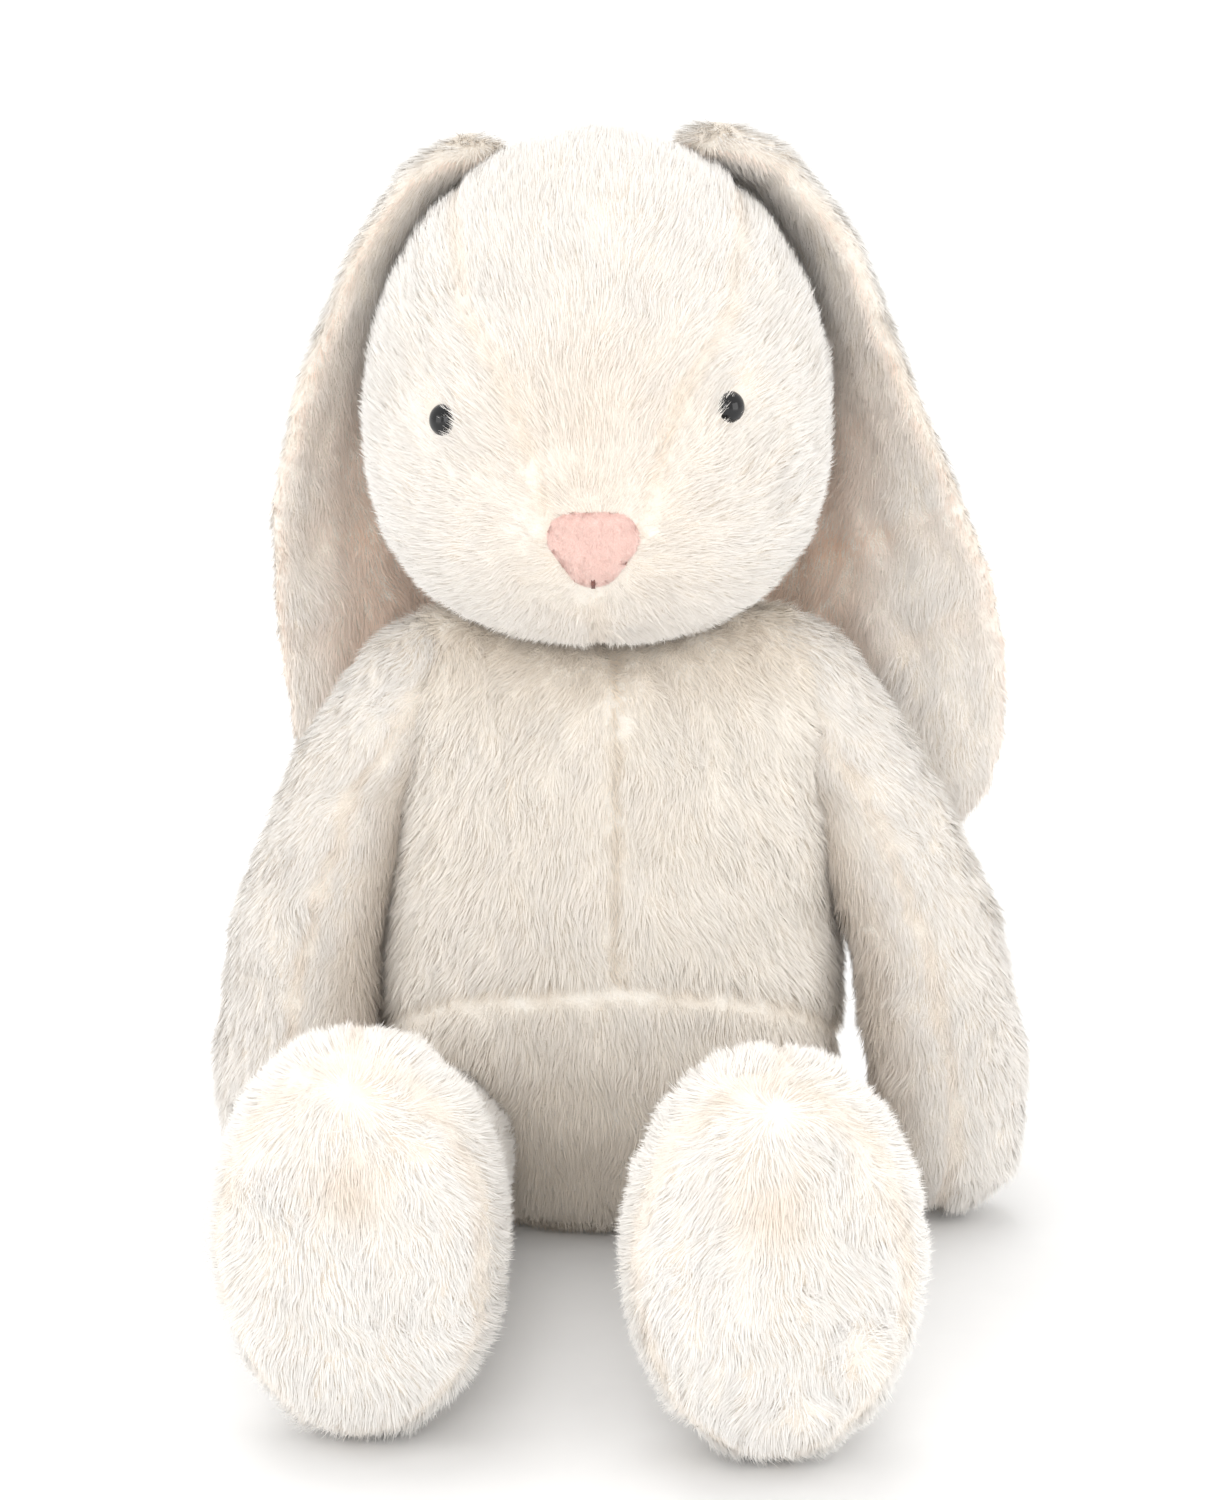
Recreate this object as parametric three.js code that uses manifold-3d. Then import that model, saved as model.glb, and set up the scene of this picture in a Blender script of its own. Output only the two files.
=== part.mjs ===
// Long-eared plush rabbit, sitting on the floor with its legs stretched out in front.
// Millimetres, +Z up. The origin is the middle of the flat seat, where the toy rests.
// The rabbit faces -Y, so its own left side is +X.
//
// Every padded part is a cover of sewn pile-fabric panels around a polyester filling. A cover is
// the outer form less a copy that is one fabric thickness smaller, and planes and prisms cut it
// into its panels along the seams.

import * as THREE from 'three';
import { mergeVertices } from 'three/addons/utils/BufferGeometryUtils.js';
import Module from 'manifold-3d';

const wasm = await Module();
wasm.setup();

// ---------------------------------------------------------------- driving dimensions

const FABRIC = 6; // backing cloth and the dense part of the pile
const GAP = 0.3; // left between pieces that touch
const CLEARANCE = 1.2; // left around a piece that turns
const LOOSE = 2; // left between a filling and the cover around it
const FAR = 600; // a length beyond every part of the toy

// Points round a section and sections along a form: fine for covers, coarse for what they hide.
const FINE = { around: 22, rings: 12 };
const COARSE = { around: 14, rings: 8 };
const LIMB_FINE = { around: 12, rings: 9 };
const LIMB_COARSE = { around: 8, rings: 9 };

// An egg is round in plan. Its outline above and below its widest level has its own height and power.
const BODY = {
  centre: [0, -3], radius: 100, depth: 0.88, widest: 90,
  above: { height: 168, power: 2.2 }, below: { height: 100, power: 3 },
  muzzle: { reach: 0, x: 0, z: 0, spread: 1 },
};
const HEAD = {
  centre: [-5, -5], radius: 97, depth: 0.95, widest: 342,
  above: { height: 116, power: 2 }, below: { height: 94, power: 2.6 },
  muzzle: { reach: 12, x: -5, z: 300, spread: 36 },
};
const NECK = [-3, 4, 250]; // the seam that the head nods on
const NOD = [-6, 14]; // degrees, back and forward

const FRONT_SEAM_X = 2; // centre seam of the chest
const SEAT_SEAM = { front: 118, back: 26 }; // heights of the seam round the seat panel
const SIDE_SEAM_Y = 22; // side seams of the body, behind its widest point

const FACE_SEAM_Y = 34; // seam over the crown that parts face from nape
const GUSSET = { top: 60, middle: 52, nose: 17, topZ: 432, middleZ: 390, noseZ: 306 };

const EYE = { radius: 6.5, dome: 5.2, stem: 2.2, length: 14, seat: 0.9 };
const EYE_BORE = { back: -60, front: 20 }; // of the hole for a stem, along the eye's own axis
const WASHER = { bore: 2.7, radius: 7, thickness: 1.2, depth: 7.8 };
const EYES = [
  { side: 'right', x: -67, z: 348 },
  { side: 'left', x: 48, z: 354 },
];
const NOSE = { x: -6.5, z: 299, width: 36, height: 29, thickness: 2.5 };
const STITCH = { width: 1.6, length: 7.5, thickness: 1.3 };

const TAIL = { centre: [0, 96, 48], radius: 27, fabric: 5 };
const POUCH = { radius: 46, bottom: 7.2, top: 38, edge: 12 };

// Each ear: centre line from the crown seam to the tip, half width, half thickness, and how far
// its width is turned from straight across, in degrees.
const EARS = [
  {
    side: 'left', sign: 1, hinge: [28, 8, 453],
    line: [
      [28, 8, 453, 20, 7, 72], [56, 19, 450, 26, 9, 74], [85, 24, 421, 31, 10, 74],
      [100, 27, 370, 39, 11, 62], [107, 37, 327, 47, 11, 48], [112, 44, 288, 53, 11, 32],
      [118, 51, 245, 56, 11, 18], [127, 53, 205, 51, 11, 8], [137, 53, 170, 38, 10, 5],
      [143, 53, 146, 21, 7, 5],
    ],
  },
  {
    side: 'right', sign: -1, hinge: [-44, 8, 450],
    line: [
      [-44, 8, 450, 20, 7, 72], [-68, 20, 444, 26, 9, 74], [-90, 25, 414, 31, 10, 72],
      [-106, 30, 370, 38, 11, 62], [-109, 41, 327, 45, 11, 48], [-106, 50, 288, 49, 11, 32],
      [-100, 55, 245, 49, 11, 18], [-101, 58, 205, 43, 11, 8], [-107, 64, 172, 32, 10, 5], [-110, 66, 150, 18, 7, 5],
    ],
  },
];
const EAR_ROUNDING = 0.06; // share of its length over which an end closes
const EAR_ROOT = { room: 2.5, end: 2 }; // left round the root in the crown, and at its ends

// Each arm: centre line from shoulder to paw, and the radius of its round section.
const ARMS = [
  {
    side: 'left', sign: 1, hinge: [72, 0, 231],
    line: [
      [58, 1, 250, 25], [73, -1, 233, 27.5], [95, -6, 204, 28], [117, -16, 165, 29.5],
      [133, -26, 125, 32], [142, -33, 85, 33.5], [145, -37, 50, 33.5], [143, -39, 23, 30],
      [139, -40, 4.5, 21],
    ],
  },
  {
    side: 'right', sign: -1, hinge: [-74, 0, 229],
    line: [
      [-60, 1, 248, 25], [-75, -1, 231, 27.5], [-97, -6, 202, 28], [-116, -16, 165, 29.5],
      [-128, -24, 125, 32], [-134, -29, 85, 33.5], [-135, -32, 50, 33.5], [-133, -34, 23, 30],
      [-129, -35, 4.5, 21],
    ],
  },
];
const ARM_SWING = 75; // degrees, forward and outward
const SHOULDER_SOCKET = 31;
const ARM_AXIS_TURN = 25; // degrees between the swing axis and the line across the shoulders

// Each leg lies on the floor. Its frame has the hip at the origin and the leg along -Y.
const LEGS = [
  { side: 'left', hip: [70, -76, 42], turn: 2.7 },
  { side: 'right', hip: [-70, -54, 42], turn: 5.4 },
];
const LEG_LINE = [
  [0, 25, 0, 24], [0, 0, 0, 31], [0, -60, 1, 34], [0, -120, 2, 38], [0, -200, 2, 40], [0, -232, 3, 34],
];
const FOOT = { back: -194, sole: -264, middle: 36.3, width: 54, height: 77.5, power: 2.5 };
const SOLE_SEAM_Y = -248;
const LEG_SWING = [-55, 30]; // degrees, down and up
const HIP_SOCKET = 35;

const WHITE = 0xf7f2ea;
const CREAM = 0xf3eadf;
const PEACH = 0xf6e3d8;
const PINK = 0xf3c9c1;
const FILL = 0xfbfbf8;
const BLACK = 0x101114;
const THREAD = 0x8a6c66;
const POUCH_CLOTH = 0xe9e4da;
const WASHER_WHITE = 0xe6e6e2;

// ---------------------------------------------------------------- solids and meshes

/** Closed mesh through rings of points, with a fan at each end. */
function loft(rings) {
  const count = rings[0].length;
  const points = rings.flat();
  const first = points.length;
  points.push(middleOf(rings[0]), middleOf(rings[rings.length - 1]));
  const index = [];
  for (let r = 0; r + 1 < rings.length; r++) {
    for (let k = 0; k < count; k++) {
      const a = r * count + k;
      const b = r * count + ((k + 1) % count);
      index.push(a, b, a + count, b, b + count, a + count);
    }
  }
  const last = (rings.length - 1) * count;
  for (let k = 0; k < count; k++) {
    const next = (k + 1) % count;
    index.push(first, next, k, first + 1, last + k, last + next);
  }
  const geometry = new THREE.BufferGeometry().setFromPoints(points);
  geometry.setIndex(index);
  return geometry;
}

function middleOf(ring) {
  const sum = ring.reduce((total, point) => total.add(point), new THREE.Vector3());
  return sum.divideScalar(ring.length);
}

/** Manifold solid of a closed three.js geometry, turned right side out. */
function solidOf(geometry) {
  const bare = geometry.clone();
  bare.deleteAttribute('normal');
  bare.deleteAttribute('uv');
  const merged = mergeVertices(bare, 1e-4);
  const triangles = new Uint32Array(merged.index.array);
  const position = new Float32Array(merged.attributes.position.array);
  const build = () => new wasm.Manifold(new wasm.Mesh({
    numProp: 3, vertProperties: position, triVerts: triangles,
  }));
  const solid = build();
  if (solid.volume() > 0) return solid;
  for (let t = 0; t < triangles.length; t += 3) {
    [triangles[t + 1], triangles[t + 2]] = [triangles[t + 2], triangles[t + 1]];
  }
  return build();
}

/** The biggest connected body of a solid; cuts can leave slivers beside it. */
function whole(solid) {
  const bodies = solid.decompose();
  return bodies.reduce((best, body) => (body.volume() > best.volume() ? body : best));
}

function meshOf(name, solid, color, roughness = 0.95) {
  const { vertProperties, triVerts } = whole(solid).getMesh();
  const geometry = new THREE.BufferGeometry();
  geometry.setAttribute('position', new THREE.BufferAttribute(vertProperties, 3));
  geometry.setIndex(new THREE.BufferAttribute(triVerts, 1));
  geometry.computeVertexNormals();
  const material = new THREE.MeshStandardMaterial({ color, roughness, metalness: 0 });
  const mesh = new THREE.Mesh(geometry, material);
  mesh.name = name;
  return mesh;
}

/** Box between two values on one axis, wide enough to halve any part. */
function slab(axis, from, to) {
  const size = new THREE.Vector3(2 * FAR, 2 * FAR, 2 * FAR).setComponent(axis, to - from);
  const geometry = new THREE.BoxGeometry(size.x, size.y, size.z);
  const centre = new THREE.Vector3().setComponent(axis, (from + to) / 2);
  geometry.translate(centre.x, centre.y, centre.z);
  return solidOf(geometry);
}

const below = (axis, value) => slab(axis, -FAR, value);
const beyond = (axis, value) => slab(axis, value, FAR);

/** A solid turned about an axis through a point. */
function turned(solid, pivot, axis, degrees) {
  const at = new THREE.Vector3(...pivot);
  const turn = new THREE.Matrix4().makeRotationAxis(axis, THREE.MathUtils.degToRad(degrees));
  const matrix = new THREE.Matrix4().makeTranslation(at).multiply(turn);
  matrix.multiply(new THREE.Matrix4().makeTranslation(at.negate()));
  return solid.transform(matrix.elements);
}

/** What is left of a solid once a neighbour has swung through its whole range. */
function cleared(solid, mover, pivot, axis, from, to, steps) {
  let left = solid;
  for (let i = 0; i <= steps; i++) {
    left = left.subtract(turned(mover, pivot, axis, from + ((to - from) * i) / steps));
  }
  return left;
}

const cover = (outer, inner) => outer.subtract(inner);

// ---------------------------------------------------------------- forms

/** Radius of an egg at a level, as a share of its widest radius. */
function eggShare(egg, z, grow) {
  const half = z > egg.widest ? egg.above : egg.below;
  const rise = Math.min(Math.abs(z - egg.widest) / (half.height + grow), 1);
  return (1 - rise ** half.power) ** (1 / half.power);
}

/** Egg-shaped form, grown or shrunk all round, and cut flat at a floor level. */
function eggForm(egg, grow, floor = -FAR, detail = FINE) {
  const { around, rings: levels } = detail;
  const bottom = Math.max(egg.widest - egg.below.height - grow, floor);
  const top = egg.widest + egg.above.height + grow;
  const { reach, x: muzzleX, z: muzzleZ, spread } = egg.muzzle;
  const rings = [];
  for (let i = 0; i < levels; i++) {
    const share = (i + 0.35) / (levels - 0.3);
    const z = floor > -FAR && i === 0
      ? bottom
      : bottom + (top - bottom) * (0.5 - 0.5 * Math.cos(Math.PI * share));
    const radius = (egg.radius + grow) * eggShare(egg, z, grow);
    rings.push(Array.from({ length: around }, (_, k) => {
      const angle = (2 * Math.PI * k) / around;
      const x = egg.centre[0] + radius * Math.cos(angle);
      const y = egg.centre[1] + (egg.depth * radius) * Math.sin(angle);
      const away = ((x - muzzleX) ** 2 + (z - muzzleZ) ** 2) / (2 * spread ** 2);
      const push = reach * Math.exp(-away) * Math.max(-Math.sin(angle), 0);
      return new THREE.Vector3(x, y - push, z);
    }));
  }
  return solidOf(loft(rings));
}

/** Smooth values along a list of [x, y, z, ...sizes] points. */
function along(line) {
  const centres = new THREE.CatmullRomCurve3(line.map(([x, y, z]) => new THREE.Vector3(x, y, z)));
  const sizes = new THREE.CatmullRomCurve3(
    line.map(([, , , wide, thick = wide, turn = 0]) => new THREE.Vector3(wide, thick, turn)),
  );
  return (t) => ({
    centre: centres.getPoint(t), forward: centres.getTangent(t), size: sizes.getPoint(t),
  });
}

/** Frames along a line. Across is the width of the section, and up is its thickness. */
function framesOf(line, rings, acrossOf) {
  const at = along(line);
  return Array.from({ length: rings }, (_, i) => {
    const t = 0.5 - 0.5 * Math.cos((Math.PI * i) / (rings - 1));
    const { centre, forward, size } = at(t);
    const across = acrossOf(size.z);
    across.addScaledVector(forward, -across.dot(forward)).normalize();
    const up = new THREE.Vector3().crossVectors(forward, across);
    return { t, centre, forward, across, up, wide: size.x, thick: size.y };
  });
}

/** How far an end of a limb has closed at t, from 0 at the end itself to 1. */
function endShare(t, rounding) {
  const near = Math.min(t, 1 - t) / rounding;
  return near >= 1 ? 1 : Math.sqrt(1 - (1 - near) ** 2);
}

/** Part of an oval section of a limb, grown or shrunk, between two angles. */
function arc(frame, grow, rounding, [from, to], steps, lift = 0) {
  const { t, centre, forward, across, up, wide, thick } = frame;
  const share = Math.max(endShare(t, rounding), 0.04);
  const start = centre.clone().addScaledVector(forward, grow * (2 * t - 1));
  return Array.from({ length: steps }, (_, k) => {
    const angle = from + ((to - from) * k) / (steps - 1);
    const rise = (thick + grow) * share * Math.sin(angle);
    return start.clone()
      .addScaledVector(across, (wide + grow) * share * Math.cos(angle))
      .addScaledVector(up, lift > 0 ? Math.max(rise, lift) : Math.min(rise, lift || Infinity));
  });
}

/** Limb with an oval section and round ends. */
function limbForm(frames, grow, rounding, around) {
  const circle = [0, 2 * Math.PI * (1 - 1 / around)];
  return solidOf(loft(frames.map((frame) => arc(frame, grow, rounding, circle, around))));
}

/** The two halves of a limb on either side of its widest line: +1 is the upper one. */
const halfAngles = (sign) => [0, sign * Math.PI];

function solidHalf(frames, sign, rounding, around) {
  const steps = around / 2 + 1;
  const lift = (sign * GAP) / 2;
  return solidOf(loft(frames.map((frame) => arc(frame, 0, rounding, halfAngles(sign), steps, lift))));
}

/** One half of a limb's cover: an open trough with walls one fabric thick. */
function coverHalf(frames, sign, rounding, around) {
  const steps = around / 2 + 1;
  const lift = (sign * GAP) / 2;
  const trough = (grow) => frames.map((frame) => arc(frame, grow, rounding, halfAngles(sign), steps, lift));
  const outer = trough(0);
  const inner = trough(-FABRIC);
  const rows = outer.map((row, r) => [...row, ...inner[r].reverse()]);
  const count = 2 * steps;
  const index = [];
  for (let r = 0; r + 1 < rows.length; r++) {
    for (let k = 0; k < count; k++) {
      const a = r * count + k;
      const b = r * count + ((k + 1) % count);
      index.push(a, b, a + count, b, b + count, a + count);
    }
  }
  const last = (rows.length - 1) * count;
  for (let k = 0; k + 1 < steps; k++) {
    const [a, b, c, d] = [k, k + 1, count - 2 - k, count - 1 - k];
    index.push(a, c, b, a, d, c, last + a, last + b, last + c, last + a, last + c, last + d);
  }
  const geometry = new THREE.BufferGeometry().setFromPoints(rows.flat());
  geometry.setIndex(index);
  return solidOf(geometry);
}

/** Straight prism along Y with a closed outline in X and Z. */
function prismAlongY(shape, from, to) {
  const geometry = new THREE.ExtrudeGeometry(shape, {
    depth: to - from, bevelEnabled: false, curveSegments: 5,
  });
  geometry.rotateX(Math.PI / 2);
  geometry.translate(0, to, 0);
  return solidOf(geometry);
}

// ---------------------------------------------------------------- ears

function earAcross(ear, turn) {
  const angle = THREE.MathUtils.degToRad(turn);
  return new THREE.Vector3(ear.sign * Math.cos(angle), -Math.sin(angle), 0);
}

/** The seam that an ear turns on: it lies in the crown, running back to front. */
const earAxis = (ear) => earAcross(ear, ear.line[0][5]);

/** Round bar in the crown, around the seam of an ear, that the ear's root turns in. */
function earRoot(ear) {
  const [, , , wide, thick] = ear.line[0];
  const radius = thick + EAR_ROOT.room;
  const geometry = new THREE.CylinderGeometry(radius, radius, 2 * (wide + EAR_ROOT.end), 10);
  const axis = new THREE.Quaternion().setFromUnitVectors(new THREE.Vector3(0, 1, 0), earAxis(ear));
  geometry.applyQuaternion(axis);
  geometry.translate(...ear.hinge);
  return solidOf(geometry);
}

function makeEar(ear) {
  const { around, rings } = LIMB_FINE;
  const frames = framesOf(ear.line, rings + 4, (turn) => earAcross(ear, turn));
  const group = new THREE.Group();
  group.add(
    meshOf(`ear_${ear.side}_outer`, solidHalf(frames, -ear.sign, EAR_ROUNDING, around), WHITE),
    meshOf(`ear_${ear.side}_lining`, solidHalf(frames, ear.sign, EAR_ROUNDING, around), PEACH),
  );
  return group;
}

// ---------------------------------------------------------------- arms

const ARM_ROUNDING = 0.12;

const armFrames = (arm, rings) => framesOf(arm.line, rings, () => new THREE.Vector3(0, -1, 0));

function armForm(arm, grow, { around, rings } = LIMB_FINE) {
  return limbForm(armFrames(arm, rings), grow, ARM_ROUNDING, around);
}

function armAxis(arm) {
  const turn = THREE.MathUtils.degToRad(ARM_AXIS_TURN);
  return new THREE.Vector3(-Math.cos(turn), -arm.sign * Math.sin(turn), 0);
}

function makeArm(arm) {
  const { around, rings } = LIMB_FINE;
  const frames = armFrames(arm, rings);
  const group = new THREE.Group();
  group.add(
    meshOf(`arm_${arm.side}_outer_panel`, coverHalf(frames, -arm.sign, ARM_ROUNDING, around), WHITE),
    meshOf(`arm_${arm.side}_inner_panel`, coverHalf(frames, arm.sign, ARM_ROUNDING, around), CREAM),
    meshOf(`arm_${arm.side}_stuffing`, armForm(arm, -FABRIC - LOOSE, LIMB_COARSE), FILL),
  );
  return group;
}

// ---------------------------------------------------------------- legs

const LEG_ROUNDING = 0.2;
const LEG_TUBE = { around: 10, rings: 7 };
const LEG_FOOT = { around: 16, rings: 7 };
const LEG_FILL_TUBE = { around: 8, rings: 7 };
const LEG_FILL_FOOT = { around: 12, rings: 7 };

/** Upright oval foot: rings that swell from the instep and close again at the sole. */
function footForm(grow, { around, rings }) {
  const back = FOOT.back + grow;
  const sole = FOOT.sole - grow;
  return solidOf(loft(Array.from({ length: rings }, (_, i) => {
    const u = -0.985 + (1.97 * i) / (rings - 1);
    const share = (1 - Math.abs(u) ** FOOT.power) ** (1 / FOOT.power);
    const y = (back + sole) / 2 - (u * (back - sole)) / 2;
    return Array.from({ length: around }, (_, k) => {
      const angle = (2 * Math.PI * k) / around;
      const x = (FOOT.width + grow) * share * Math.cos(angle);
      const z = FOOT.middle + (FOOT.height + grow) * share * Math.sin(angle);
      return new THREE.Vector3(x, y, z);
    });
  })));
}

function legTube(grow, { around, rings }) {
  const frames = framesOf(LEG_LINE, rings, () => new THREE.Vector3(1, 0, 0));
  return limbForm(frames, grow, LEG_ROUNDING, around);
}

function legForm(grow, tube = LEG_TUBE, foot = LEG_FOOT) {
  return legTube(grow, tube).add(footForm(grow, foot));
}

function legMatrix(leg) {
  const turn = new THREE.Matrix4().makeRotationZ(THREE.MathUtils.degToRad(-leg.turn));
  return turn.setPosition(...leg.hip);
}

function legAxis(leg) {
  return new THREE.Vector3(-1, 0, 0).transformDirection(legMatrix(leg));
}

function makeLeg(leg) {
  const shell = cover(legForm(0), legForm(-FABRIC));
  const upper = shell.intersect(beyond(1, SOLE_SEAM_Y + GAP / 2));
  const outward = leg.side === 'left' ? beyond(0, GAP / 2) : below(0, -GAP / 2);
  const inward = leg.side === 'left' ? below(0, -GAP / 2) : beyond(0, GAP / 2);
  const group = new THREE.Group();
  group.applyMatrix4(legMatrix(leg));
  group.add(
    meshOf(`leg_${leg.side}_outer_panel`, upper.intersect(outward), WHITE),
    meshOf(`leg_${leg.side}_inner_panel`, upper.intersect(inward), WHITE),
    meshOf(`sole_${leg.side}_panel`, shell.intersect(below(1, SOLE_SEAM_Y - GAP / 2)), WHITE),
    meshOf(`leg_${leg.side}_stuffing`, legForm(-FABRIC - LOOSE, LEG_FILL_TUBE, LEG_FILL_FOOT), FILL),
  );
  return group;
}

// ---------------------------------------------------------------- head

/** Where a line along Y through (x, z) meets the face, and the way the face points there. */
function onFace(x, z) {
  const radius = HEAD.radius * eggShare(HEAD, z, 0);
  const aside = (x - HEAD.centre[0]) / radius;
  const forward = Math.sqrt(1 - aside ** 2);
  const point = new THREE.Vector3(x, HEAD.centre[1] - HEAD.depth * radius * forward, z);
  const normal = new THREE.Vector3(aside * HEAD.depth, -forward, 0).normalize();
  return { point, normal };
}

/** Round bar from behind an eye's seat to its face, along the eye's own axis. */
function eyeBar(eye, radius, from, to) {
  const { point, normal } = onFace(eye.x, eye.z);
  const geometry = new THREE.CylinderGeometry(radius, radius, to - from, 14);
  geometry.translate(0, (from + to) / 2, 0);
  geometry.applyQuaternion(new THREE.Quaternion().setFromUnitVectors(new THREE.Vector3(0, 1, 0), normal));
  geometry.translate(point.x, point.y, point.z);
  return solidOf(geometry);
}

/** Places a piece that was turned about +Y on the axis of an eye. */
function onEyeAxis(mesh, eye) {
  const { point, normal } = onFace(eye.x, eye.z);
  mesh.position.copy(point);
  mesh.quaternion.setFromUnitVectors(new THREE.Vector3(0, 1, 0), normal);
  return mesh;
}

function makeEye(eye) {
  const { radius, dome, stem, length, seat } = EYE;
  const outline = [new THREE.Vector2(0, -length), new THREE.Vector2(stem, -length)];
  outline.push(new THREE.Vector2(stem, seat));
  for (let i = 0; i <= 5; i++) {
    const angle = (Math.PI / 2) * (i / 6);
    outline.push(new THREE.Vector2(radius * Math.cos(angle), seat + dome * Math.sin(angle)));
  }
  outline.push(new THREE.Vector2(0, seat + dome));
  const solid = solidOf(new THREE.LatheGeometry(outline, 16));
  return onEyeAxis(meshOf(`eye_${eye.side}`, solid, BLACK, 0.12), eye);
}

function makeWasher(eye) {
  const { bore, radius, thickness, depth } = WASHER;
  const back = -depth - thickness;
  const corners = [[bore, back], [radius, back], [radius, -depth], [bore, -depth], [bore, back]];
  const outline = corners.map(([r, y]) => new THREE.Vector2(r, y));
  const solid = solidOf(new THREE.LatheGeometry(outline, 16));
  return onEyeAxis(meshOf(`eye_washer_${eye.side}`, solid, WASHER_WHITE, 0.5), eye);
}

/** Rounded triangle in X and Z with its point down. */
function noseShape() {
  const { x, z, width, height } = NOSE;
  const [half, top, bottom] = [width / 2, z + height / 2, z - height / 2];
  const shape = new THREE.Shape();
  shape.moveTo(x - half + 6, top - 1);
  shape.quadraticCurveTo(x, top + 2, x + half - 6, top - 1);
  shape.quadraticCurveTo(x + half + 1, top - 3, x + half - 2, top - 11);
  shape.quadraticCurveTo(x + half - 7, bottom + 7, x + 5, bottom + 1);
  shape.quadraticCurveTo(x, bottom - 1.5, x - 5, bottom + 1);
  shape.quadraticCurveTo(x - half + 7, bottom + 7, x - half + 2, top - 11);
  shape.quadraticCurveTo(x - half - 1, top - 3, x - half + 6, top - 1);
  return shape;
}

function stitchShape() {
  const { x, z, height } = NOSE;
  const half = STITCH.width / 2;
  const bottom = z - height / 2 + 1;
  const top = bottom + STITCH.length;
  return new THREE.Shape([
    new THREE.Vector2(x - half, bottom), new THREE.Vector2(x + half, bottom),
    new THREE.Vector2(x + half, top), new THREE.Vector2(x - half, top),
  ]);
}

/** Strip from the crown to the nose, narrowing as it goes down. */
function gussetShape(grow) {
  const { top, middle, nose, topZ, middleZ, noseZ } = GUSSET;
  const x = HEAD.centre[0];
  const shape = new THREE.Shape();
  shape.moveTo(x - nose - grow, noseZ - grow);
  shape.lineTo(x + nose + grow, noseZ - grow);
  shape.quadraticCurveTo(x + 26 + grow, noseZ + 50, x + middle + grow, middleZ);
  shape.lineTo(x + top + grow, topZ);
  shape.lineTo(x + top + grow, topZ + 60);
  shape.lineTo(x - top - grow, topZ + 60);
  shape.lineTo(x - top - grow, topZ);
  shape.lineTo(x - middle - grow, middleZ);
  shape.quadraticCurveTo(x - 26 - grow, noseZ + 50, x - nose - grow, noseZ - grow);
  return shape;
}

/** Thin piece that lies on the face between two heights above it. */
function facePatch(shape, from, to) {
  const layer = cover(eggForm(HEAD, to), eggForm(HEAD, from));
  return layer.intersect(prismAlongY(shape, -FAR / 2, -40));
}

/** Takes the grooves that the ear roots turn in out of a head form. */
const withEarRoots = (form) => EARS.reduce((left, ear) => left.subtract(earRoot(ear)), form);

function makeHead() {
  let skin = withEarRoots(eggForm(HEAD, 0));
  let filling = withEarRoots(eggForm(HEAD, -FABRIC - LOOSE, -FAR, COARSE));
  for (const eye of EYES) {
    skin = skin.subtract(eyeBar(eye, WASHER.bore, EYE_BORE.back, EYE_BORE.front));
    filling = filling.subtract(eyeBar(eye, WASHER.radius + GAP, -EYE.length - 1, EYE_BORE.front));
  }
  const shell = cover(skin, eggForm(HEAD, -FABRIC));
  const front = shell.intersect(below(1, FACE_SEAM_Y - GAP / 2));
  const back = shell.intersect(beyond(1, FACE_SEAM_Y + GAP / 2));
  const strip = prismAlongY(gussetShape(0), -FAR / 2, FAR / 2);
  const beside = prismAlongY(gussetShape(GAP), -FAR / 2, FAR / 2);
  const cheeks = front.subtract(beside);
  const [toLeft, toRight] = [
    beyond(0, HEAD.centre[0] + GAP / 2), below(0, HEAD.centre[0] - GAP / 2),
  ];
  const noseFront = NOSE.thickness + GAP;
  const group = new THREE.Group();
  group.add(
    meshOf('head_gusset', front.intersect(strip), WHITE),
    meshOf('cheek_left_panel', cheeks.intersect(toLeft), WHITE),
    meshOf('cheek_right_panel', cheeks.intersect(toRight), WHITE),
    meshOf('nape_left_panel', back.intersect(toLeft), WHITE),
    meshOf('nape_right_panel', back.intersect(toRight), WHITE),
    meshOf('head_stuffing', filling, FILL),
    meshOf('nose_patch', facePatch(noseShape(), GAP, noseFront), PINK),
    meshOf('mouth_stitch', facePatch(stitchShape(), noseFront + GAP, noseFront + STITCH.thickness), THREAD),
    ...EYES.map(makeEye),
    ...EYES.map(makeWasher),
    ...EARS.map(makeEar),
  );
  return group;
}

// ---------------------------------------------------------------- body

function ball(centre, radius, around = 12) {
  const geometry = new THREE.SphereGeometry(radius, around, Math.round(around * 0.6));
  geometry.translate(...centre);
  return solidOf(geometry);
}

/** Body form less the room that the head, arms and legs need to move. */
function withLimbRoom(form) {
  const nodding = eggForm(HEAD, CLEARANCE + 1, -FAR, { around: 18, rings: 11 });
  let left = cleared(form, nodding, NECK, new THREE.Vector3(1, 0, 0), ...NOD, 2);
  for (const arm of ARMS) {
    left = left.subtract(ball(arm.hinge, SHOULDER_SOCKET));
    left = cleared(left, armForm(arm, CLEARANCE), arm.hinge, armAxis(arm), 0, ARM_SWING / 3, 2);
  }
  for (const leg of LEGS) {
    const mover = legTube(CLEARANCE, LEG_TUBE).transform(legMatrix(leg).elements);
    left = cleared(left.subtract(ball(leg.hip, HIP_SOCKET)), mover, leg.hip, legAxis(leg), ...LEG_SWING, 4);
  }
  return whole(left);
}

/** The half space below or above the sloping seam round the seat panel. */
function bySeatSeam(side, gap) {
  const { front, back } = SEAT_SEAM;
  const middle = (front + back) / 2;
  const slope = THREE.MathUtils.radToDeg(Math.atan2(front - back, 2 * BODY.depth * BODY.radius));
  const pivot = [0, BODY.centre[1], middle];
  return turned(side(2, middle + gap), pivot, new THREE.Vector3(1, 0, 0), -slope);
}

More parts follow.
